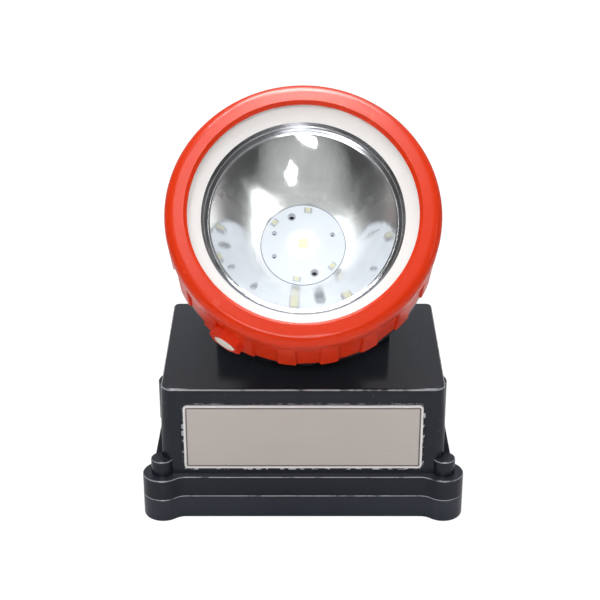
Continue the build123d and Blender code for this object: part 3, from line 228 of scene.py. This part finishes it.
class Finish(NodeTree):
    """A material with one main shader, and patterns that vary it over the surface."""

    def __init__(self, name, constants):
        self.material = bpy.data.materials.new(name)
        super().__init__(self.material)
        self.shader = self.tree.nodes["Principled BSDF"]
        for socket, value in constants.items():
            self.shader.inputs[socket].default_value = value

    def vary(self, socket, reading):
        self.feed(self.shader.inputs[socket], reading)

    def place(self):
        """Point on the object, in metres."""
        return self.node("ShaderNodeTexCoord", output="Object")

    def stretched(self, along):
        """Point on the object, with each direction scaled."""
        return self.node("ShaderNodeVectorMath", {"operation": "MULTIPLY"}, {0: self.place(), 1: along})

    def noise(self, scale, detail=3.0, point=None):
        return self.node(
            "ShaderNodeTexNoise", sockets={0: point or self.place(), "Scale": scale, "Detail": detail}
        )

    def along(self, direction, origin):
        """Distance of the point from the origin, measured in one direction."""
        offset = self.node("ShaderNodeVectorMath", {"operation": "SUBTRACT"}, {0: self.place(), 1: origin})
        return self.node("ShaderNodeVectorMath", {"operation": "DOT_PRODUCT"}, {0: offset, 1: direction}, 1)

    def away(self, point):
        """Distance of the point from a fixed one."""
        return self.node("ShaderNodeVectorMath", {"operation": "DISTANCE"}, {0: self.place(), 1: point}, 1)

    def upward(self):
        """How far the face looks up, from -1 to 1."""
        normal = self.node("ShaderNodeNewGeometry", output="Normal")
        return self.node("ShaderNodeSeparateXYZ", sockets={0: normal}, output=2)

    def colour(self):
        """The colour that the main shader has so far."""
        return Reading(self, self.shader.inputs["Base Color"].links[0].from_socket)

    def bump(self, height, depth, strength=1.0):
        self.vary("Normal", self.node(
            "ShaderNodeBump", sockets={"Height": height, "Distance": depth, "Strength": strength}
        ))

    def put_on(self, *names):
        """Give the finish to CAD nodes."""
        for name in names:
            for slot in nodes[name].material_slots:
                slot.material = self.material


def black_moulding(name, dark, light, gloss, grain=0.00001, shine=0.5):
    """Black plastic with mould grain, slow unevenness and a little dust."""
    finish = Finish(name, {"IOR": 1.5, "Specular IOR Level": shine})
    skin = finish.noise(2600, 2.0)
    slow = finish.noise(70, 2.0)
    dust = finish.rise(finish.noise(1500, 4.0), 0.69, 0.77)
    finish.vary("Base Color", finish.mixed(dust * 0.3, finish.mixed(slow, dark, light), shade(96, 96, 98)))
    finish.vary("Roughness", gloss + (slow - 0.5) * 0.10 + dust * 0.3)
    finish.bump(skin + slow * 1.5, grain)
    return finish


def painted_edge_highlights(finish, dark, light, below):
    """Painted highlights: make the rounded edges paler that face up and out, under a height."""
    upward = finish.upward()
    height = finish.node("ShaderNodeSeparateXYZ", sockets={0: finish.place()}, output=2)
    # The paler colour on these edges is a painted highlight, where the roundings catch the overhead lamps.
    edge = finish.rise(upward, 0.25, 0.5) * (1 - finish.rise(upward, 0.72, 0.92))
    edge = edge * (1 - finish.rise(height, below, below + 0.0004)) * finish.rise(finish.noise(300), 0.25, 0.5)
    finish.vary("Base Color", finish.mixed(edge * 0.8, finish.colour(), finish.mixed(edge, dark, light)))


def painted_top_light(finish, painted_light_colour):
    """Painted fill light: make the faces that look straight up evenly paler."""
    level = finish.rise(finish.upward(), 0.93, 0.99)
    finish.vary("Base Color", finish.mixed(level, finish.colour(), painted_light_colour))


roof_over_plate = 0.0085
roof_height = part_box("nameplate")[1][2] + roof_over_plate
case_black = black_moulding("case_black", shade(26, 31, 39), shade(32, 37, 46), 0.13, shine=0.36)
# The case's upward faces are painted paler: painted fill light on the roof under the head.
painted_top_light(case_black, shade(46, 49, 56))
# Painted highlights on the case's rounded upper edges.
painted_edge_highlights(case_black, shade(124, 127, 132), shade(172, 175, 181), roof_height)
case_black.put_on("battery_case")
cover_black = black_moulding("cover_black", shade(37, 43, 53), shade(43, 49, 60), 0.16)
# Painted highlights on the cover's rounded upper edges.
painted_edge_highlights(cover_black, shade(150, 153, 158), shade(205, 208, 213), roof_height)
cover_black.put_on("back_cover")


# ---------------------------------------------------------------- seals, washers and rubber
# Black rubber seals, O-rings and the cables' sheaths: matt, with a faint bloom on the surface.
def rubber(name, colour, bloom):
    finish = Finish(name, {"IOR": 1.45})
    cloud = finish.noise(220, 4.0)
    finish.vary("Base Color", finish.mixed(cloud * 0.6, colour, bloom))
    finish.vary("Roughness", 0.62 + cloud * 0.25)
    finish.bump(finish.noise(3500, 2.0), 0.000012)
    return finish


rubber_black = rubber("rubber_black", shade(24, 24, 25), shade(58, 58, 60))
rubber_black.put_on(
    "cover_seal", "hinge_seals", "lens_gasket", "switch_seal", "housing_seal", "case_cable", "head_cable",
    "switch_leads",
)
rubber("lead_red", shade(150, 26, 22), shade(176, 60, 52)).put_on("cell_leads")
rubber("lead_yellow", shade(196, 160, 36), shade(212, 184, 84)).put_on("charge_leads")


# ---------------------------------------------------------------- steel, brass and spring steel
# Turned and stamped metal parts: screws, rivets, hook, pivot parts, charging contacts and tabs.
def metal(name, colour, dull, gloss, grain):
    finish = Finish(name, {"Metallic": 1.0})
    stain = finish.noise(160, 4.0)
    lines = finish.noise(1.0, 3.0, finish.stretched(grain))
    finish.vary("Base Color", finish.mixed(finish.rise(stain, 0.45, 0.75), colour, dull))
    finish.vary("Roughness", gloss + lines * 0.14 + stain * 0.08)
    finish.bump(lines, 0.000006)
    return finish


metal("screw_steel", shade(178, 180, 184), shade(140, 140, 142), 0.22, (900, 900, 6000)).put_on(
    "cover_screws", "housing_screws", "board_screws", "carrier_screws"
)
metal("hook_steel", shade(188, 190, 194), shade(150, 150, 154), 0.2, (4000, 150, 900)).put_on("helmet_hook")
metal("rivet_steel", shade(176, 178, 180), shade(138, 138, 140), 0.26, (1800, 1800, 900)).put_on(
    "hook_rivets"
)
metal("pivot_steel", shade(170, 172, 176), shade(132, 132, 136), 0.2, (6000, 900, 900)).put_on(
    "pivot_pin", "pivot_bush"
)
metal("contact_brass", shade(206, 176, 108), shade(160, 128, 72), 0.2, (900, 6000, 900)).put_on(
    "charge_contacts"
)
metal("tab_nickel", shade(190, 188, 180), shade(150, 146, 138), 0.28, (900, 3000, 900)).put_on("cell_tabs")
# The LED carrier is given a dark colour: painted shade, so the board's holes that show it look dark.
metal("carrier_aluminium", shade(46, 47, 50), shade(34, 35, 38), 0.3, (3000, 900, 900)).put_on(
    "led_carrier"
)


# ---------------------------------------------------------------- nameplate
# A thin aluminium plate, brushed from side to side, with a fine dark line printed inside its edge.
# It is stuck on, and the clear glue has squeezed out along its sides and foot.
plate_low, plate_high = (Vector(corner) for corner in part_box("nameplate"))
plate_middle = (plate_low + plate_high) / 2
plate_half = (plate_high - plate_low) / 2
plate_thickness = 0.0005
plate_corner = 0.0010
line_inset = 0.00075
line_width = 0.00028
plate_lean = asin((2 * plate_half.y - plate_thickness) / (2 * plate_half.z))
bead_width = 0.00055
bead_height = 0.00040

plate_metal = Finish("plate_metal", {"IOR": 1.5})
plate_x = plate_metal.along((1, 0, 0), plate_middle)
plate_z = plate_metal.along((0, 0, 1), plate_middle)
reach_x = abs(plate_x) - (plate_half.x - plate_corner)
reach_z = abs(plate_z) - (plate_half.z - plate_corner)
corner_reach = (reach_x.larger(0.0) * reach_x.larger(0.0) + reach_z.larger(0.0) * reach_z.larger(0.0))
inside_edge = corner_reach.maths("SQRT", corner_reach) + reach_x.larger(reach_z).smaller(0.0) - plate_corner
dark_line = 1 - plate_metal.rise(abs(inside_edge + line_inset), line_width * 0.4, line_width * 0.8)
bright_rim = plate_metal.rise(inside_edge, -0.00060, -0.00045)
brushing = plate_metal.noise(1.0, 4.0, plate_metal.stretched((60, 60, 9000)))
cloud = plate_metal.noise(60, 3.0)
plate_colour = plate_metal.mixed(brushing, shade(190, 182, 176), shade(209, 201, 195))
plate_colour = plate_metal.mixed(cloud * 0.25, plate_colour, shade(214, 208, 204))
plate_colour = plate_metal.mixed(bright_rim, plate_colour, shade(238, 236, 234))
plate_metal.vary("Base Color", plate_metal.mixed(dark_line * 0.85, plate_colour, shade(52, 40, 35)))
plate_metal.vary("Metallic", 0.25 - dark_line * 0.25)
plate_metal.vary("Roughness", 0.36 + brushing * 0.16)
plate_metal.bump(brushing - dark_line * 0.5, 0.000010)
plate_metal.put_on("nameplate")

bead_mesh = bmesh.new()
bmesh.ops.create_grid(bead_mesh, x_segments=1, y_segments=1, size=1.0)
bmesh.ops.scale(
    bead_mesh, verts=bead_mesh.verts,
    vec=(plate_half.x + bead_width, plate_half.z + bead_width, 1),
)
bmesh.ops.bevel(
    bead_mesh, geom=bead_mesh.verts[:], affect="VERTICES", offset=plate_corner + bead_width, segments=6,
    profile=0.5, material=-1,
)
bmesh.ops.inset_region(
    bead_mesh, faces=bead_mesh.faces[:], thickness=bead_width * 1.3, use_boundary=True, use_even_offset=True
)
middle_face = max(bead_mesh.faces, key=lambda face: len(face.verts))
bmesh.ops.delete(bead_mesh, geom=[middle_face], context="FACES_ONLY")
raised = bmesh.ops.extrude_face_region(bead_mesh, geom=bead_mesh.faces[:])["geom"]
bmesh.ops.translate(
    bead_mesh, verts=[part for part in raised if isinstance(part, bmesh.types.BMVert)],
    vec=(0, 0, bead_height),
)
bmesh.ops.recalc_face_normals(bead_mesh, faces=bead_mesh.faces[:])
top_edges = [
    edge for edge in bead_mesh.edges
    if all(vert.co.z > bead_height / 2 for vert in edge.verts) and edge.calc_face_angle(0) > 1
]
bmesh.ops.bevel(
    bead_mesh, geom=top_edges, affect="EDGES", offset=bead_height * 0.6, segments=3, profile=0.5, material=-1
)
bmesh.ops.transform(
    bead_mesh, verts=bead_mesh.verts,
    matrix=Matrix.Translation((plate_middle.x, plate_middle.y + plate_thickness / 2, plate_middle.z))
    @ Matrix.Rotation(radians(90) - plate_lean, 4, "X"),
)
glue_bead = bpy.data.objects.new("glue_bead", bpy.data.meshes.new("glue_bead"))
bead_mesh.to_mesh(glue_bead.data)
bead_mesh.free()
scene.collection.objects.link(glue_bead)
for face in glue_bead.data.polygons:
    face.use_smooth = True

glue_clear = Finish("glue_clear", {"IOR": 1.45, "Base Color": shade(206, 210, 218)})
patches = glue_clear.rise(glue_clear.noise(620, 4.0), 0.52, 0.60)
glue_height = glue_clear.along((0, 0, 1), plate_middle)
thinner_above = glue_clear.rise(glue_height, plate_half.z * 0.8, plate_half.z * 0.95, 0.9, 0.2)
glue_clear.vary("Alpha", patches * thinner_above)
glue_clear.vary("Roughness", 0.12 + glue_clear.noise(900) * 0.2)
glue_clear.bump(glue_clear.noise(1400, 3.0), 0.0001)
glue_bead.data.materials.append(glue_clear.material)
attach(glue_bead, "case")


# ---------------------------------------------------------------- cell, cradle and charging board
# Inside the box: the cell in its blue sleeve, a black cradle with grey foam pads, and a green board.
sleeve = Finish("cell_sleeve", {"IOR": 1.5})
sleeve_cloud = sleeve.noise(90, 3.0)
sleeve.vary("Base Color", sleeve.mixed(sleeve_cloud, shade(38, 84, 150), shade(52, 100, 168)))
sleeve.vary("Roughness", 0.22 + sleeve_cloud * 0.12)
sleeve.bump(sleeve.noise(400, 2.0), 0.00003)
sleeve.put_on("battery_cell")
black_moulding("cradle_black", shade(40, 40, 42), shade(52, 52, 54), 0.45).put_on("cell_cradle")

foam = Finish("foam_grey", {"IOR": 1.4})
pores = foam.node("ShaderNodeTexVoronoi", sockets={0: foam.place(), "Scale": 1400.0})
foam.vary("Base Color", foam.mixed(pores, shade(72, 72, 74), shade(112, 112, 114)))
foam.vary("Roughness", 0.85 + pores * 0.1)
foam.bump(pores, 0.0002)
foam.put_on("cell_pads")

solder_mask = Finish("solder_mask_green", {"IOR": 1.5})
tracks = solder_mask.rise(solder_mask.noise(1.0, 1.0, solder_mask.stretched((260, 1100, 300))), 0.5, 0.53)
solder_mask.vary("Base Color", solder_mask.mixed(tracks, shade(20, 92, 50), shade(38, 122, 70)))
solder_mask.vary("Roughness", 0.26 + tracks * 0.08)
solder_mask.bump(tracks, 0.00003)
solder_mask.put_on("control_board")
black_moulding("chip_black", shade(34, 34, 36), shade(46, 46, 48), 0.5).put_on("board_parts")


# ---------------------------------------------------------------- hinge trim and rear housing
# The housing and the hinge's caps are the case's black plastic. The friction washers are nylon.
black_moulding("housing_black", shade(28, 29, 32), shade(36, 37, 41), 0.28).put_on("rear_housing")
black_moulding("cap_black", shade(26, 27, 29), shade(34, 35, 38), 0.3).put_on("pivot_caps")
nylon = Finish("washer_nylon", {"IOR": 1.5})
nylon_cloud = nylon.noise(300, 3.0)
nylon.vary("Base Color", nylon.mixed(nylon_cloud, shade(206, 204, 196), shade(222, 220, 212)))
nylon.vary("Roughness", 0.4 + nylon_cloud * 0.15)
nylon.bump(nylon_cloud, 0.00002)
nylon.put_on("friction_washers")


# ---------------------------------------------------------------- bezel and grip ring
# Two red mouldings with a soft gloss. The colour is even, and the surface has the faint
# unevenness of a thick moulding and a few rubbed places.
def red_moulding(name, deep, bright, gloss):
    finish = Finish(name, {"IOR": 1.5, "Specular IOR Level": 0.3})
    slow = finish.noise(45, 3.0)
    fine = finish.noise(1900, 2.0)
    rubbed = finish.rise(finish.noise(260, 5.0), 0.62, 0.78)
    plain = finish.mixed(slow, deep, bright)
    finish.vary("Base Color", finish.mixed(rubbed * 0.08, plain, shade(244, 128, 96)))
    finish.vary("Roughness", gloss + fine * 0.08 + rubbed * 0.10)
    finish.bump(fine + slow * 2.0, 0.000010)
    return finish


red_moulding("bezel_red", shade(219, 50, 8), shade(227, 55, 10), 0.20).put_on("front_bezel")
red_moulding("shell_red", shade(224, 54, 18), shade(232, 59, 22), 0.26).put_on("head_shell")


# ---------------------------------------------------------------- push button and switch
# A cream-white rubber-feel button in the red boss. Behind it are small black switch parts.
cream = Finish("button_cream", {"IOR": 1.5})
worn = cream.noise(500, 4.0)
cream.vary("Base Color", cream.mixed(cream.rise(worn, 0.5, 0.75), shade(240, 236, 226), shade(220, 213, 200)))
cream.vary("Roughness", 0.42 + worn * 0.15)
cream.bump(cream.noise(2200, 2.0), 0.000015)
cream.put_on("switch_button")
black_moulding("switch_black", shade(38, 38, 40), shade(50, 50, 52), 0.45).put_on(
    "switch_plunger", "switch_body", "switch_retainer"
)


# ---------------------------------------------------------------- lens
# A flat disc of clear polycarbonate held by the bezel. It lets light through, and shows a faint
# gloss and a few fine wipe marks.
lens_clear = Finish("lens_clear", {})
lens_marks = lens_clear.rise(lens_clear.noise(1.0, 3.0, lens_clear.stretched((300, 900, 2600))), 0.60, 0.74)
lens_gloss = lens_clear.node(
    "ShaderNodeBsdfAnisotropic", {"distribution": "GGX"}, {"Color": (1, 1, 1, 1), "Roughness": 0.02}
)
lens_open = lens_clear.node("ShaderNodeBsdfTransparent", sockets={0: (0.985, 0.99, 0.985, 1)})
lens_edge = lens_clear.node("ShaderNodeFresnel", sockets={"IOR": 1.35})
lens_clear.feed(
    lens_clear.tree.nodes["Material Output"].inputs["Surface"],
    lens_clear.node(
        "ShaderNodeMixShader", sockets={0: lens_edge * 0.6 + lens_marks * 0.015, 1: lens_open, 2: lens_gloss}
    ),
)
lens_clear.put_on("lens", "led_dome")


# ---------------------------------------------------------------- white ring behind the lens
# A flat white moulding that hides the reflector's edge and centres it. It glows faintly: painted light that
# brightens its top, where the bezel's lip shades it.
ring_white_painted_glow = Finish(
    "ring_white_painted_glow", {"IOR": 1.5, "Emission Color": (1, 0.98, 0.98, 1), "Emission Strength": 0.22}
)
ring_cloud = ring_white_painted_glow.noise(300, 3.0)
ring_white_painted_glow.vary("Base Color", ring_white_painted_glow.mixed(ring_cloud, shade(243, 238, 237), shade(249, 245, 244)))
ring_white_painted_glow.vary("Roughness", 0.40 + ring_cloud * 0.15)
ring_white_painted_glow.bump(ring_white_painted_glow.noise(2400, 2.0), 0.000012)
ring_white_painted_glow.put_on("trim_ring")


# ---------------------------------------------------------------- reflector
# Moulded bowl with a coat of vacuum-deposited aluminium. It is a mirror with faint turning marks and a slow
# waviness that bends what it shows. Its stepped rim is duller, with fine bright lines that are painted
# highlights on its steps.
head_middle = (Vector(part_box("led_board")[0]) + Vector(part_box("led_board")[1])) / 2
lens_middle = (Vector(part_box("lens")[0]) + Vector(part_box("lens")[1])) / 2
head_forward = (lens_middle - head_middle).normalized()
head_across = Vector((1, 0, 0))
head_up = head_forward.cross(head_across).normalized()
if head_up.z < 0:
    head_up = -head_up

rim_start = 0.0230
rim_line_spacing = 0.0010

mirror = Finish("reflector_mirror", {"Metallic": 1.0})
waves = mirror.noise(55, 2.0)
haze = mirror.noise(240, 4.0)
turning = mirror.noise(
    1.0, 2.0,
    mirror.node("ShaderNodeCombineXYZ", sockets={0: mirror.along(head_forward, head_middle) * 3200}),
)
mirror_out = mirror.node(
    "ShaderNodeVectorMath", {"operation": "LENGTH"},
    {0: mirror.node(
        "ShaderNodeCombineXYZ",
        sockets={0: mirror.along(head_across, head_middle), 1: mirror.along(head_up, head_middle)},
    )},
    1,
)
rim = mirror.rise(mirror_out, rim_start, rim_start + 0.0003)
# The rim's paler lines are painted highlights on its steps.
rim_highlight_lines = mirror.rise(
    mirror.node("ShaderNodeMath", {"operation": "PINGPONG"}, {0: mirror_out, 1: rim_line_spacing / 2}),
    rim_line_spacing * 0.34, rim_line_spacing * 0.48,
)
low = 1 - mirror.rise(mirror_out, 0.0120, 0.0170)
bright = mirror.mixed(haze, shade(226, 226, 226), shade(244, 245, 246))
dull = mirror.mixed(rim_highlight_lines, shade(158, 159, 165), shade(240, 241, 244))
mirror.vary("Base Color", mirror.mixed(rim, bright, dull))
mirror.vary("Roughness", 0.045 + mirror.rise(haze, 0.5, 0.8) * 0.06 + rim * 0.10 + low * 0.24)
mirror.bump(waves * 2.5 + turning * 0.25 + rim * rim_highlight_lines * 6, 0.00001)
mirror.put_on("reflector")


# ---------------------------------------------------------------- LED board
# Aluminium-core board with a bluish-white mask, bare rings round its holes, and the main LED: a white base, a
# yellow chip and a clear dome. The faint glow of the board, the LED's base and its chip is painted light.
board_front = head_middle + head_forward * 0.0008
big_holes = (0.0082, (111.0, 291.0), 0.00075, 0.00112)
seat_circle = 0.01096
small_holes = (0.0081, (20.0, 157.0, 203.0), 0.00045, 0.00068)


def on_board(circle, degrees, lift=0.0):
    """Point in front of the board, from its distance from the middle and its angle."""
    return (
        board_front + head_across * circle * cos(radians(degrees)) + head_up * circle * sin(radians(degrees))
        + head_forward * lift
    )


# The board's faint glow is painted light, standing in for the light the reflector throws onto it.
board_white_painted_glow = Finish(
    "led_board_white", {"IOR": 1.5, "Emission Color": (0.95, 0.97, 1.0, 1), "Emission Strength": 0.24}
)
board_cloud = board_white_painted_glow.noise(180, 3.0)
board_colour = board_white_painted_glow.mixed(board_cloud, shade(222, 231, 246), shade(236, 241, 250))
for circle, angles, hole, ring in (big_holes, small_holes):
    for degrees in angles:
        reach = board_white_painted_glow.away(on_board(circle, degrees))
        grey_ring = 1 - board_white_painted_glow.rise(reach, ring * 0.92, ring)
        board_colour = board_white_painted_glow.mixed(grey_ring * 0.85, board_colour, shade(128, 130, 138))
seat_line = 1 - board_white_painted_glow.rise(abs(board_white_painted_glow.away(on_board(0, 0)) - seat_circle), 0.00008, 0.00016)
board_white_painted_glow.vary("Base Color", board_white_painted_glow.mixed(seat_line * 0.95, board_colour, shade(44, 44, 50)))
board_white_painted_glow.vary("Roughness", 0.34 + board_cloud * 0.12)
board_white_painted_glow.bump(board_white_painted_glow.noise(1800, 2.0), 0.000012)
board_white_painted_glow.put_on("led_board")

# The LED's base glows faintly: painted light.
ceramic = Finish("led_base_white", {"IOR": 1.5, "Emission Color": (1, 1, 1, 1), "Emission Strength": 0.3})
ceramic_cloud = ceramic.noise(600, 2.0)
ceramic.vary("Base Color", ceramic.mixed(ceramic_cloud, shade(244, 246, 248), shade(252, 253, 254)))
ceramic.vary("Roughness", 0.30 + ceramic_cloud * 0.1)
ceramic.put_on("led_base")

# The chip glows faintly: painted light.
phosphor = Finish("led_chip_yellow", {"IOR": 1.45, "Emission Strength": 0.7})
crystals = phosphor.noise(3000, 3.0)
phosphor.vary("Base Color", phosphor.mixed(crystals, shade(244, 240, 168), shade(251, 249, 200)))
phosphor.vary("Emission Color", phosphor.mixed(crystals, shade(244, 240, 168), shade(251, 249, 200)))
phosphor.vary("Roughness", 0.5 + crystals * 0.2)
phosphor.bump(crystals, 0.00002)
phosphor.put_on("led_chip")


# ---------------------------------------------------------------- side LEDs
# Four small surface-mount LEDs: a pale yellow body, with a tinned cap soldered on at each end.
side_led_circle = 0.0095
side_led_angles = (82.0, 141.0, 260.0, 322.0)
side_led_size = Vector((0.0019, 0.0012, 0.0007))
end_cap_length = 0.00035
end_cap_spare = 0.00003

side_body = Finish("side_led_yellow", {"IOR": 1.45})
side_grain = side_body.noise(2600, 3.0)
side_top = side_body.rise(
    side_body.along(head_forward, board_front), side_led_size.z * 0.75, side_led_size.z * 0.9
)
side_phosphor = side_body.mixed(side_grain, shade(241, 240, 206), shade(249, 248, 228))
side_body.vary("Base Color", side_body.mixed(side_top, shade(214, 215, 214), side_phosphor))
side_body.vary("Roughness", 0.4 + side_grain * 0.2)
side_body.bump(side_grain, 0.00002)
side_body.put_on("side_leds")

caps_mesh = bmesh.new()
turn = Matrix((head_across, head_up, head_forward)).transposed().to_4x4()
for degrees in side_led_angles:
    for end in (-1, 1):
        corners = bmesh.ops.create_cube(caps_mesh, size=1.0)["verts"]
        bmesh.ops.scale(caps_mesh, verts=corners, vec=(
            end_cap_length, side_led_size.y + 2 * end_cap_spare, side_led_size.z + end_cap_spare
        ))
        rims = {edge for vert in corners for edge in vert.link_edges}
        rounded = bmesh.ops.bevel(
            caps_mesh, geom=list(rims), affect="EDGES", offset=0.00006, segments=2, profile=0.5, material=-1
        )["verts"]
        middle = on_board(side_led_circle, degrees, (side_led_size.z + end_cap_spare) / 2)
        bmesh.ops.transform(
            caps_mesh, verts=rounded,
            matrix=Matrix.Translation(middle) @ turn @ Matrix.Rotation(radians(degrees + 90), 4, "Z")
            @ Matrix.Translation((end * (side_led_size.x - end_cap_length + 2 * end_cap_spare) / 2, 0, 0)),
        )
side_led_caps = bpy.data.objects.new("side_led_caps", bpy.data.meshes.new("side_led_caps"))
caps_mesh.to_mesh(side_led_caps.data)
caps_mesh.free()
scene.collection.objects.link(side_led_caps)
cap_tin = metal("cap_tin", shade(216, 217, 222), shade(188, 189, 196), 0.45, (3000, 3000, 3000))
cap_tin.shader.inputs["Metallic"].default_value = 0.4
side_led_caps.data.materials.append(cap_tin.material)
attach(side_led_caps, "head")
